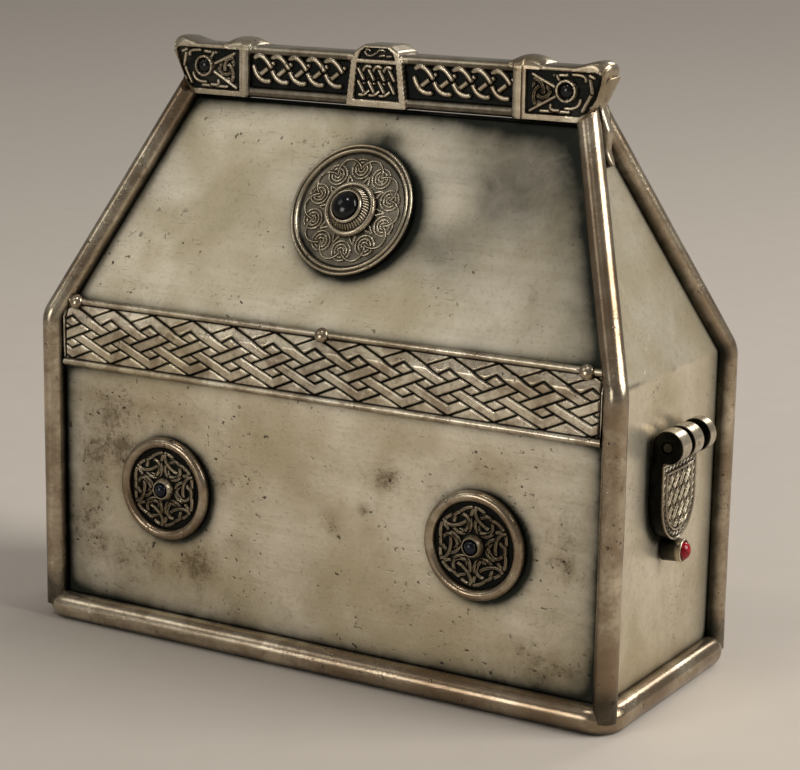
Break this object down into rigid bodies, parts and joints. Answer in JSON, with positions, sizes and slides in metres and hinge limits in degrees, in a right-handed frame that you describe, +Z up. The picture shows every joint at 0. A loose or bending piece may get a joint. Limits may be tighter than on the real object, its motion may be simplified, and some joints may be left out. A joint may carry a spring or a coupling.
{
  "type": "reliquary casket",
  "caption": "House-shaped reliquary casket with a hipped roof, tubular bindings, round mounts, an eave band and a ridge pole that ends in beast heads.",
  "frame": {"origin": "on the standing surface, under the middle of the foot binding", "axes": "+X along the ridge towards the right end as the front is seen, -Y out of the front wall, +Z up"},
  "size_m": [0.1858, 0.0738, 0.1619],
  "materials": {
    "plate_silver": "aged silvered sheet with mottled tarnish and scratches",
    "cast_silver": "cast relief, rubbed bright on its edges and dark in its recesses",
    "rubbed_bronze": "worn silvering over pinkish brown bronze, satin",
    "dark_bronze": "dark patinated relief",
    "black_stone": "polished cabochon",
    "blue_stone": "polished cabochon",
    "red_stone": "polished cabochon"
  },
  "bodies": {
    "root": {"base_plate": "plate_silver", "base_binding": "rubbed_bronze", "corner_binding_front_left": "rubbed_bronze", "corner_binding_front_right": "rubbed_bronze", "corner_binding_back_left": "rubbed_bronze", "corner_binding_back_right": "rubbed_bronze", "front_wall_plate": "plate_silver", "back_wall_plate": "plate_silver", "front_roof_plate": "plate_silver", "back_roof_plate": "plate_silver", "left_end_plate": "plate_silver", "right_end_plate": "plate_silver", "front_band": "cast_silver", "front_band_rivet_left": "rubbed_bronze", "front_band_rivet_middle": "rubbed_bronze", "front_band_rivet_right": "rubbed_bronze", "back_band": "cast_silver", "back_band_rivet_left": "rubbed_bronze", "back_band_rivet_middle": "rubbed_bronze", "back_band_rivet_right": "rubbed_bronze", "wall_medallion_ring_left": "rubbed_bronze", "wall_medallion_disc_left": "cast_silver", "wall_medallion_stone_left": "blue_stone", "wall_medallion_ring_right": "rubbed_bronze", "wall_medallion_disc_right": "cast_silver", "wall_medallion_stone_right": "blue_stone", "roof_medallion": "dark_bronze", "roof_medallion_boss": "cast_silver", "roof_medallion_stone": "black_stone", "strap_mount_left": "cast_silver", "strap_pin_left": "rubbed_bronze", "strap_stone_left": "red_stone", "strap_mount_right": "cast_silver", "strap_pin_right": "rubbed_bronze", "strap_stone_right": "red_stone", "ridge_pole": "cast_silver", "ridge_tongue_left": "cast_silver", "ridge_tongue_right": "cast_silver", "eye_stone_front_left": "black_stone", "eye_stone_front_right": "black_stone", "eye_stone_back_left": "black_stone", "eye_stone_back_right": "black_stone"}
  },
  "joints": []
}
